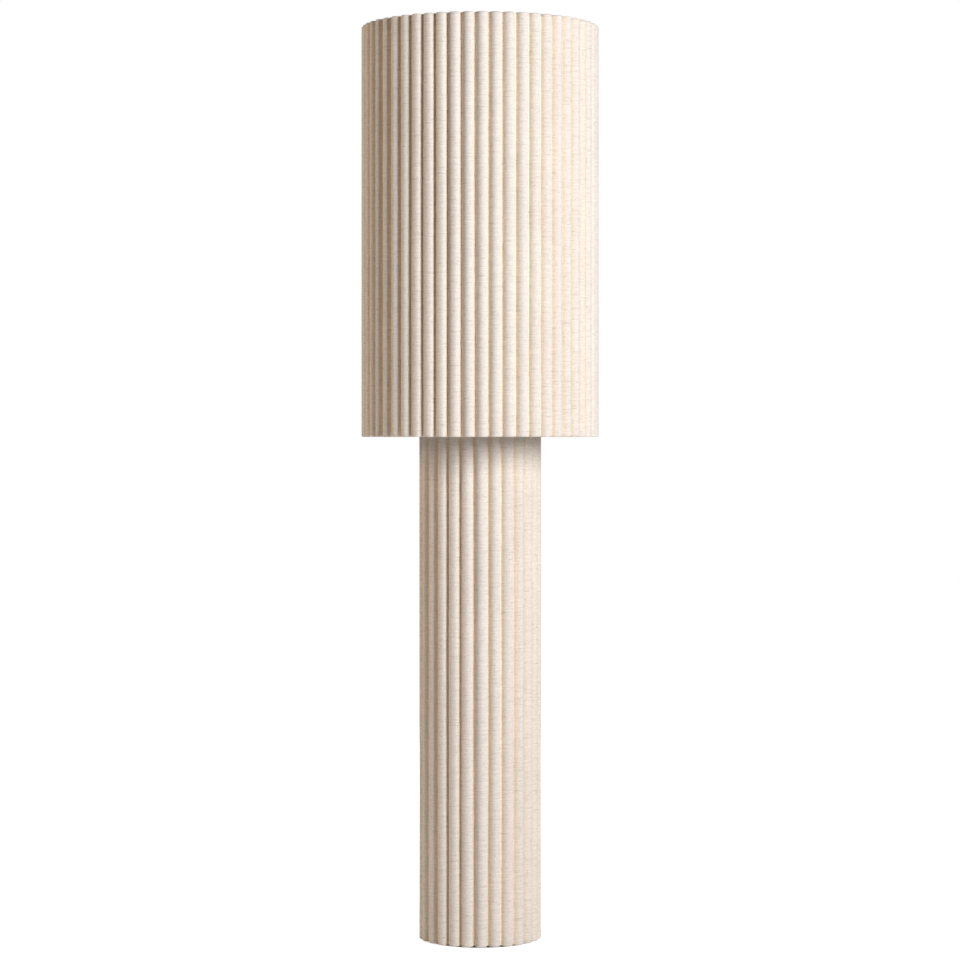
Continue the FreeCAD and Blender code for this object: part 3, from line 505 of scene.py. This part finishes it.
# %% [markdown]
# The shade's cloth is glued over its strips, the column's likewise. Both are stretched sheets. The
# column's cloth has a round hole at the back for the cord's bushing, whose flange covers its edge.
# There the rows are a millimetre apart, so leaving out the faces near its middle gives a fair hole.

# %% Linen of the shade and the column
SHADE_ROWS = 38
COLUMN_ROWS = 64
SHADE_INNER = 0.1782
COLUMN_INNER = 0.0827
SHADE_SEED = 11
COLUMN_SEED = 23
HOLE_ROWS = 7
HOLE_STEP = 0.0011
HOLE_RADIUS = 0.0060
bushing_low, bushing_high = (np.array(corner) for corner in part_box("cord_bushing"))
outlet = ((bushing_low + bushing_high) / 2)[2]
OUTLET_HOLE = ((0.0, COLUMN_RADIUS, outlet), HOLE_RADIUS)
NO_HOLE = ((0.0, 0.0, 0.0), 0.0)


def add_linen(name, node, body, grid, hole):
    """Make one cover, let it ride on its body and say what it is cut from."""
    points, depth = grid
    piece, width, length = cloth_drum(name, points, depth, hole)
    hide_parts(node)
    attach(piece, body)
    return piece


shade_wall = wall_heights(shade_low[2], shade_high[2], SHADE_ROWS)
shade_grid = cloth_grid(SHADE_FLUTES, SHADE_RADIUS, shade_low[2], shade_high[2], shade_wall, shade_rim,
                        SHADE_INNER, SHADE_SEED, stay_turns)
shade_cloth = add_linen("shade_cover", "shade_linen", "shade", shade_grid, NO_HOLE)

hole_rows = outlet + HOLE_STEP * np.arange(-HOLE_ROWS, HOLE_ROWS + 1)
column_wall = wall_heights(column_low[2], column_high[2], COLUMN_ROWS)
clear_of_hole = np.abs(column_wall - outlet) > HOLE_STEP * (HOLE_ROWS + 1)
column_wall = np.sort(np.concatenate([column_wall[clear_of_hole], hole_rows]))
column_grid = cloth_grid(COLUMN_FLUTES, COLUMN_RADIUS, column_low[2], column_high[2], column_wall,
                         column_rim, COLUMN_INNER, COLUMN_SEED)
column_cloth = add_linen("column_cover", "column_linen", "root", column_grid,
                         OUTLET_HOLE)

# %% [markdown]
# Natural linen is a pale tan. On the flanks and in the valleys its colour is painted a little lighter
# and more yellow than on the crests; this is painted bounce light, for light that bounces between
# its threads there. Thick threads, called slubs, run across the cloth as short lines, and finer ones
# make it a little uneven from row to row.
# All patterns read the cloth's own UV map in metres, so they bend with the flutes and stay the size
# of real threads.

# %% Shader helpers
FINE_DETAIL = 2.0
GRAIN_DETAIL = 3.0
SHADED_RANGE = (0.25, 0.75)


def threads(tree, across, along, detail=FINE_DETAIL):
    """Make noise on the cloth map with so many features per metre across and along the cloth."""
    place = add(tree, "UVMap", uv_map="cloth")
    scale = add(tree, "Mapping", {"Vector": place.outputs[0], "Scale": (across, along, 1.0)})
    noise = add(tree, "TexNoise", {"Vector": scale.outputs[0], "Scale": 1.0, "Detail": detail})
    return noise.outputs["Fac"]


def grain(tree, across, up=None):
    """Make noise in the piece's own space with so many features per metre sideways and upwards."""
    place = add(tree, "TexCoord").outputs["Object"]
    stretch = (across, across, across if up is None else up)
    scale = add(tree, "Mapping", {"Vector": place, "Scale": stretch})
    noise = add(tree, "TexNoise", {"Vector": scale.outputs[0], "Scale": 1.0, "Detail": GRAIN_DETAIL})
    return noise.outputs["Fac"]


def fade(tree, value, low, high, start=0.0, end=1.0):
    """Turn a range of values into another range, smoothly."""
    sockets = {"Value": value, "From Min": low, "From Max": high, "To Min": start, "To Max": end}
    return add(tree, "MapRange", sockets, interpolation_type="SMOOTHSTEP").outputs[0]


def mix(tree, factor, first, second, blend="MIX"):
    """Mix two colours."""
    node = add(tree, "Mix", data_type="RGBA", blend_type=blend)
    for index, value in ((0, factor), (6, first), (7, second)):
        if isinstance(value, bpy.types.NodeSocket):
            tree.links.new(value, node.inputs[index])
        else:
            node.inputs[index].default_value = value
    return node.outputs[2]


def shaded(tree, colour, value, amount):
    """Make a colour lighter and darker by a pattern, up to an amount each way."""
    level = fade(tree, value, *SHADED_RANGE, 1 - amount, 1 + amount)
    grey = add(tree, "CombineColor", {0: level, 1: level, 2: level}).outputs[0]
    return mix(tree, 1.0, colour, grey, "MULTIPLY")


def add_bump(tree, shader, height, distance):
    """Raise a surface by a height pattern, distance in metres."""
    bump = add(tree, "Bump", {"Height": height, "Distance": distance})
    tree.links.new(bump.outputs[0], shader.inputs["Normal"])


def settings(shader, **values):
    """Set plain numbers on the shader's own sockets, with _ for a space in a socket's name."""
    for name, value in values.items():
        shader.inputs[name.replace("_", " ")].default_value = value


# %% Linen material
# The flank and valley colours are painted bounce light: lighter and warmer than the crests, by flute
# depth.
CREST_COLOUR = (0.855, 0.75, 0.65, 1.0)
FLANK_BOUNCE_LIGHT_COLOUR = (0.90, 0.765, 0.625, 1.0)
VALLEY_BOUNCE_LIGHT_COLOUR = (0.93, 0.79, 0.63, 1.0)
SLUB_COLOUR = (0.60, 0.45, 0.31, 1.0)
FLECK_COLOUR = (0.44, 0.31, 0.20, 1.0)
PAINTED_FLANK_DEPTHS = (0.06, 0.45)
PAINTED_VALLEY_DEPTHS = (0.45, 0.90)
SLUBS = (46.0, 360.0, GRAIN_DETAIL)
SLUB_RANGE = (0.56, 0.74, 0.0, 0.45)
FLECKS = (170.0, 460.0, FINE_DETAIL)
FLECK_RANGE = (0.66, 0.74, 0.0, 0.5)
ROWS = (22.0, 420.0, GRAIN_DETAIL)
SPECKS = (210.0, 300.0, FINE_DETAIL)
COLUMNS = (600.0, 9.0, FINE_DETAIL)
MOTTLE = (7.0, 9.0, FINE_DETAIL)
UNEVEN = ((ROWS, 0.06), (SPECKS, 0.05), (COLUMNS, 0.03), (MOTTLE, 0.02))
WEFT = (60.0, 1500.0)
WARP = (1500.0, 60.0)
SLUB_RELIEF = 1.4
WEAVE_HEIGHT = 0.0004


def linen_material():
    """Build the linen: painted bounce light on flanks and in valleys, slubs, flecks, uneven patterns,
    weave bump, low sheen.
    """
    material, tree, shader = new_material("linen")
    depth = add(tree, "Attribute", attribute_name="valley").outputs["Fac"]
    # painted bounce light: the colour moves to the flank and valley colours as the flute gets deeper
    colour = mix(tree, fade(tree, depth, *PAINTED_FLANK_DEPTHS), CREST_COLOUR, FLANK_BOUNCE_LIGHT_COLOUR)
    colour = mix(tree, fade(tree, depth, *PAINTED_VALLEY_DEPTHS), colour, VALLEY_BOUNCE_LIGHT_COLOUR)
    slubs = threads(tree, *SLUBS)
    colour = mix(tree, fade(tree, slubs, *SLUB_RANGE), colour, SLUB_COLOUR)
    colour = mix(tree, fade(tree, threads(tree, *FLECKS), *FLECK_RANGE), colour, FLECK_COLOUR)
    for pattern, amount in UNEVEN:
        colour = shaded(tree, colour, threads(tree, *pattern), amount)
    tree.links.new(colour, shader.inputs["Base Color"])
    weave = add(tree, "Math", {0: threads(tree, *WEFT), 1: threads(tree, *WARP)})
    sockets = {0: slubs, 1: SLUB_RELIEF, 2: weave.outputs[0]}
    relief = add(tree, "Math", sockets, operation="MULTIPLY_ADD")
    add_bump(tree, shader, relief.outputs[0], WEAVE_HEIGHT)
    settings(shader, Roughness=0.92, Specular_IOR_Level=0.12, Sheen_Weight=0.04, Sheen_Roughness=0.6)
    return material


linen = linen_material()
for cloth in (shade_cloth, column_cloth):
    cloth.data.materials.append(linen)
print("linen on", shade_cloth.name, column_cloth.name)

# %% [markdown]
# The bulb's screw cap is thin plated sheet with a thread rolled into it. A thread is a helix: its
# ridges climb one pitch a turn, so the radius is a wave of height minus turn. At the bottom the
# sheet closes in over the black insulator. One function of turn and height gives the whole shell.

# %% Screw cap with its thread
THREAD_PITCH = 0.0036
THREAD_DEPTH = 0.0010
THREAD_COLUMNS = 72
THREAD_ROWS = 90
LIP_ROWS = 8
CAP_LIP = 0.0024
CAP_EDGE = 0.0002


def threaded_shell(node):
    """Work out the shell: neck + depth (1 + cos(turn - 2 pi height / pitch)) / 2, faded at its ends.

    The first rows close in to the insulator along a quarter circle.
    """
    low, high = (np.array(corner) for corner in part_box(node))
    crest = high[0]
    neck = crest - THREAD_DEPTH
    bottom = low[2] + CAP_LIP
    height = np.linspace(bottom, high[2] - CAP_EDGE, THREAD_ROWS)[:, None]
    turn = np.linspace(0.0, 2 * math.pi, THREAD_COLUMNS, endpoint=False)[None]
    rising = np.clip((height - bottom) / THREAD_PITCH, 0, 1)
    ending = np.clip((high[2] - height) / THREAD_PITCH, 0, 1)
    wave = (1 + np.cos(turn - 2 * math.pi * height / THREAD_PITCH)) / 2
    wall = neck + THREAD_DEPTH * wave * (rising * ending)
    corner = np.linspace(0.0, math.pi / 2, LIP_ROWS, endpoint=False)[:, None] + 0 * turn
    closing = neck - CAP_LIP * (1 - np.sin(corner))
    closing_height = bottom - CAP_LIP * np.cos(corner)
    reach = np.concatenate([closing, wall])
    level = np.concatenate([closing_height, height + 0 * turn])
    around_axis = np.concatenate([turn + 0 * closing, turn + 0 * wall])
    return np.stack([reach * np.sin(around_axis), -reach * np.cos(around_axis), level], -1)


cap_points = threaded_shell("bulb_screw_cap")
screw_cap = new_piece("screw_cap", cap_points, grid_faces(*cap_points.shape[:2]))
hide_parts("bulb_screw_cap")
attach(screw_cap, "bulb")
print("screw cap faces", len(screw_cap.data.polygons))

# %% [markdown]
# The felt under the base is a cut disc of pressed wool. Its edge is soft and not quite round, so its
# outline gets a few seeded waves, and its profile is a line with rounded corners turned round the
# axis. The poles at its two middles are closed by merging their points.

# %% Felt pad
FELT_COLUMNS = 240
FELT_CORNER = 0.0006
FELT_RAGGED = 0.00025
FELT_WAVES = (3, 60)
FELT_EDGE_ROWS = 9
FELT_FLAT_ROWS = 12
FELT_SEED = 5
MERGE_DISTANCE = 1e-6


def closed_piece(name, points, faces):
    """Make a piece from grids round an axis and merge the points at their poles."""
    piece = new_piece(name, points, faces)
    tool = bmesh.new()
    tool.from_mesh(piece.data)
    bmesh.ops.remove_doubles(tool, verts=tool.verts, dist=MERGE_DISTANCE)
    bmesh.ops.recalc_face_normals(tool, faces=tool.faces)
    tool.to_mesh(piece.data)
    tool.free()
    return piece


def felt_disc(node):
    """Turn the pad's profile round the axis: out along the bottom, up over the edge, in along the top.

    The edge's radius is the pad's plus a sum of waves of random size and phase.
    """
    low, high = (np.array(corner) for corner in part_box(node))
    random = np.random.default_rng(FELT_SEED)
    turn = np.linspace(0.0, 2 * math.pi, FELT_COLUMNS, endpoint=False)
    waves = np.arange(*FELT_WAVES)
    size = random.normal(0.0, FELT_RAGGED, len(waves)) / np.sqrt(waves)
    phase = random.uniform(0.0, 2 * math.pi, len(waves))
    ragged = (size[:, None] * np.sin(waves[:, None] * turn + phase[:, None])).sum(0)
    edge = high[0] - FELT_CORNER + ragged
    corner = np.linspace(-math.pi / 2, math.pi / 2, FELT_EDGE_ROWS)
    flat = np.linspace(0.0, 1.0, FELT_FLAT_ROWS)
    inward = np.concatenate([flat, np.ones(FELT_EDGE_ROWS), flat[::-1]])
    beyond = np.concatenate([0 * flat, FELT_CORNER * np.cos(corner), 0 * flat])
    thick = (high[2] - low[2]) / 2
    level = np.concatenate([0 * flat - 1, np.sin(corner), 0 * flat + 1]) * thick + low[2] + thick
    reach = inward[:, None] * edge[None] + beyond[:, None]
    heights = level[:, None] + 0 * reach
    return np.stack([reach * np.sin(turn), -reach * np.cos(turn), heights], -1), high[0]


felt_points, felt_radius = felt_disc("felt_pad")
felt_faces = grid_faces(*felt_points.shape[:2])
felt_piece = closed_piece("felt_disc", felt_points, felt_faces)
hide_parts("felt_pad")
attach(felt_piece, "root")

# %% [markdown]
# The shade's frame is steel wire. Where two wires meet they are joined with a small bead of braze,
# which makes a soft hump over the joint. Each bead is a ball drawn out a little along the joint.

# %% Beads of braze on the shade's frame
BEAD_RADIUS = 0.0031
BEAD_TURNS = 24
BEAD_RINGS = 12
RING_SEAT = 0.0005
HOOP_SEAT = 0.0008
RING_STRETCH = (1.0, 1.0, 0.85)
STAY_STRETCH = (1.0, 1.0, 1.2)
HOOP_STRETCH = (0.95, 0.95, 1.0)


def bead(centre, stretch):
    """Work out one bead: centre + radius (cos v sin u, cos v cos u, sin v), stretched by axis."""
    u = np.linspace(0.0, 2 * math.pi, BEAD_TURNS, endpoint=False)[None]
    v = np.linspace(-math.pi / 2, math.pi / 2, BEAD_RINGS)[:, None]
    ball = np.stack([np.cos(v) * np.sin(u), -np.cos(v) * np.cos(u), np.sin(v) + 0 * u], -1)
    return np.array(centre) + BEAD_RADIUS * np.array(stretch) * ball


def frame_joints():
    """List the joints: each spoke at the ring and at its stay, and each stay at the two hoops."""
    ring_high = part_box("spider_ring")[1]
    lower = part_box("shade_lower_hoop")
    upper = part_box("shade_upper_hoop")
    joints = []
    for index, turn in zip((1, 2, 3), stay_turns):
        spoke_low, spoke_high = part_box(f"shade_spoke_{index}")
        level = (spoke_low[2] + spoke_high[2]) / 2
        stay_low, stay_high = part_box(f"shade_stay_{index}")
        stay = (stay_low + stay_high) / 2
        stay_reach = math.hypot(stay[0], stay[1])
        out = np.array([math.sin(turn), -math.cos(turn)])
        for reach, height, stretch in (
            (ring_high[0] + RING_SEAT, level, RING_STRETCH),
            (stay_reach, level, STAY_STRETCH),
            (stay_reach, lower[1][2] + HOOP_SEAT, HOOP_STRETCH),
            (stay_reach, upper[0][2] - HOOP_SEAT, HOOP_STRETCH),
        ):
            joints.append(((*(out * reach), height), stretch))
    return joints


beads = [bead(centre, stretch) for centre, stretch in frame_joints()]
bead_faces = grid_faces(BEAD_RINGS, BEAD_TURNS)
bead_size = BEAD_RINGS * BEAD_TURNS
all_faces = np.concatenate([bead_faces + bead_size * index for index in range(len(beads))])
bead_points = np.concatenate([one.reshape(-1, 3) for one in beads])
bead_piece = closed_piece("braze_beads", bead_points, all_faces)
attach(bead_piece, "shade")
print(len(beads), "beads of braze")

# %% [markdown]
# The lead inside the lamp goes from the terminal block into the pole's slot and up to the
# lampholder. It is a free length of round sheathed lead, so it is a curve that follows one smooth
# line. Its points are the route of the construction, with one more near the corner of the long run.

# %% Inner lead
LEAD_ROUTE = [
    (0.0, 0.030, 0.046),
    (0.0, 0.030, 0.075),
    (0.0, 0.000, 0.130),
    (0.0, 0.000, 0.190),
    (0.0, 0.000, 1.092),
]
LEAD_RADIUS = 0.0028
LEAD_BEVEL = 1.0
LEAD_SIDES = 4
LEAD_STEPS = 16
LEAD_ORDER = 3


def lead_curve():
    """Make a round tube along a smooth spline whose control points are the route's points.

    The bevel's radius is 1 m and each point scales it down to the lead's, because Blender takes a
    curve's bounds from its points and their own radii.
    """
    curve = bpy.data.curves.new("supply_lead", "CURVE")
    curve.dimensions = "3D"
    curve.bevel_depth = LEAD_BEVEL
    curve.bevel_resolution = LEAD_SIDES
    curve.use_fill_caps = True
    curve.resolution_u = LEAD_STEPS
    spline = curve.splines.new("NURBS")
    spline.points.add(len(LEAD_ROUTE) - 1)
    for point, place in zip(spline.points, LEAD_ROUTE):
        point.co = (*place, 1.0)
        point.radius = LEAD_RADIUS
    spline.order_u = LEAD_ORDER
    spline.use_endpoint_u = True
    lead = bpy.data.objects.new("supply_lead", curve)
    bpy.context.scene.collection.objects.link(lead)
    return lead


supply_lead = lead_curve()
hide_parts("inner_lead")
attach(supply_lead, "root")
print("lead with", len(LEAD_ROUTE), "points")

# %% [markdown]
# The hard parts keep their meshes and get a finish each. A small helper covers what they share: two
# near colours mixed by a grain, a roughness that varies with it and a fine relief. What makes a
# finish its own, such as brushed lines or a coat of lacquer, is set for each one.

# %% Shared finish
GRAIN_MIX = (0.35, 0.65)
GRAIN_GLOSS = (0.3, 0.7)
FINER = 4


def finish(name, light, dark, across, up=None, rough=0.5, varied=0.06, relief=0.0, fine=None, **values):
    """Build a finish: two colours by a grain, roughness by the same grain, relief by a finer one."""
    material, tree, shader = new_material(name)
    pattern = grain(tree, across, up)
    colour = mix(tree, fade(tree, pattern, *GRAIN_MIX), (*dark, 1.0), (*light, 1.0))
    tree.links.new(colour, shader.inputs["Base Color"])
    roughness = fade(tree, pattern, *GRAIN_GLOSS, rough + varied, rough - varied)
    tree.links.new(roughness, shader.inputs["Roughness"])
    if relief:
        add_bump(tree, shader, grain(tree, fine or across * FINER, up and up * FINER), relief)
    settings(shader, **values)
    return material


# %% Metals
metals = {
    "cast_base": finish("cast_base", (0.052, 0.052, 0.055), (0.038, 0.038, 0.040), 90.0, rough=0.42,
                        varied=0.08, relief=0.0003, fine=900.0, Coat_Weight=0.35, Coat_Roughness=0.25),
    "steel": finish("steel", (0.66, 0.66, 0.65), (0.54, 0.54, 0.54), 700.0, 40.0, rough=0.34,
                    varied=0.09, relief=0.00002, Metallic=1.0),
    "white_steel": finish("white_steel", (0.81, 0.80, 0.77), (0.77, 0.76, 0.73), 60.0, rough=0.38,
                          varied=0.05, relief=0.00006, fine=1400.0, Coat_Weight=0.2, Coat_Roughness=0.3),
    "brass": finish("brass", (0.80, 0.60, 0.28), (0.68, 0.48, 0.20), 260.0, rough=0.28, varied=0.08,
                    relief=0.00002, Metallic=1.0),
    "plated_cap": finish("plated_cap", (0.78, 0.76, 0.73), (0.66, 0.64, 0.61), 180.0, rough=0.20,
                         varied=0.07, relief=0.00002, fine=1500.0, Metallic=1.0),
    "light_board": finish("light_board", (0.82, 0.83, 0.83), (0.76, 0.77, 0.78), 300.0, rough=0.35,
                          relief=0.00002),
}
print("metals", len(metals))

# %% Boards, strips and felt
soft = {
    "flute_strip": finish("flute_strip", (0.64, 0.54, 0.40), (0.52, 0.42, 0.29), 500.0, 60.0, rough=0.85,
                          relief=0.0002),
    "core_board": finish("core_board", (0.40, 0.29, 0.18), (0.32, 0.22, 0.13), 60.0, 420.0, rough=0.8,
                         relief=0.0002),
    "top_board": finish("top_board", (0.50, 0.36, 0.22), (0.38, 0.26, 0.15), 700.0, rough=0.55,
                        varied=0.08, relief=0.00012, Coat_Weight=0.25, Coat_Roughness=0.35),
    "felt": finish("felt", (0.100, 0.086, 0.070), (0.060, 0.050, 0.040), 900.0, rough=0.95, varied=0.03,
                   relief=0.0005, fine=2600.0, Sheen_Weight=0.4, Sheen_Roughness=0.5),
}
print("boards and felt", len(soft))

# %% Plastics, glass and ceramic
moulded = {
    "slip_washer": finish("slip_washer", (0.75, 0.74, 0.69), (0.69, 0.68, 0.62), 300.0, rough=0.45,
                          relief=0.00003, Subsurface_Weight=0.25, Subsurface_Scale=0.002),
    "bushing": finish("bushing", (0.58, 0.49, 0.37), (0.52, 0.43, 0.31), 500.0, rough=0.72,
                      relief=0.00006, fine=2600.0),
    "terminal_plastic": finish("terminal_plastic", (0.78, 0.77, 0.72), (0.72, 0.71, 0.65), 250.0,
                               rough=0.45, relief=0.00004),
    "lead_sheath": finish("lead_sheath", (0.80, 0.79, 0.75), (0.76, 0.75, 0.70), 300.0, rough=0.5,
                          relief=0.00004),
    "holder_plastic": finish("holder_plastic", (0.82, 0.81, 0.77), (0.78, 0.77, 0.72), 200.0, rough=0.34,
                             relief=0.00003, fine=1600.0, Coat_Weight=0.2, Coat_Roughness=0.2),
    "ceramic": finish("ceramic", (0.84, 0.83, 0.79), (0.78, 0.76, 0.71), 160.0, rough=0.22, varied=0.05,
                      relief=0.00005, Coat_Weight=0.6, Coat_Roughness=0.08),
    "shade_liner": finish("shade_liner", (0.86, 0.85, 0.81), (0.82, 0.81, 0.77), 22.0, 9.0, rough=0.48,
                          relief=0.00008, fine=160.0, Subsurface_Weight=0.2, Subsurface_Scale=0.004),
    "black_glass": finish("black_glass", (0.012, 0.012, 0.014), (0.008, 0.008, 0.010), 200.0, rough=0.16,
                          relief=0.00004, Coat_Weight=0.8, Coat_Roughness=0.06),
    "bulb_housing": finish("bulb_housing", (0.84, 0.84, 0.82), (0.80, 0.80, 0.78), 120.0, rough=0.26,
                           relief=0.00003, fine=900.0, Coat_Weight=0.3, Coat_Roughness=0.12),
    "opal_globe": finish("opal_globe", (0.88, 0.87, 0.84), (0.86, 0.85, 0.81), 40.0, rough=0.40,
                         varied=0.04, relief=0.00002, fine=1800.0, Subsurface_Weight=0.5,
                         Subsurface_Scale=0.006),
}
print("moulded and fired", len(moulded))

# %% Give every part its finish
finishes = {**metals, **soft, **moulded, "linen": linen}
slot_of = {part["node"]: part["material_slot"] for part in frame["record"]["subparts"]}


def dress(thing, material):
    """Give a part or a piece one material."""
    thing.data.materials.clear()
    thing.data.materials.append(material)


for node, part in frame["nodes"].items():
    dress(part, finishes[slot_of[node]])
dress(screw_cap, finishes["plated_cap"])
dress(felt_piece, finishes["felt"])
dress(bead_piece, finishes["white_steel"])
dress(supply_lead, finishes["lead_sheath"])
print("finishes on", len(frame["nodes"]), "parts")
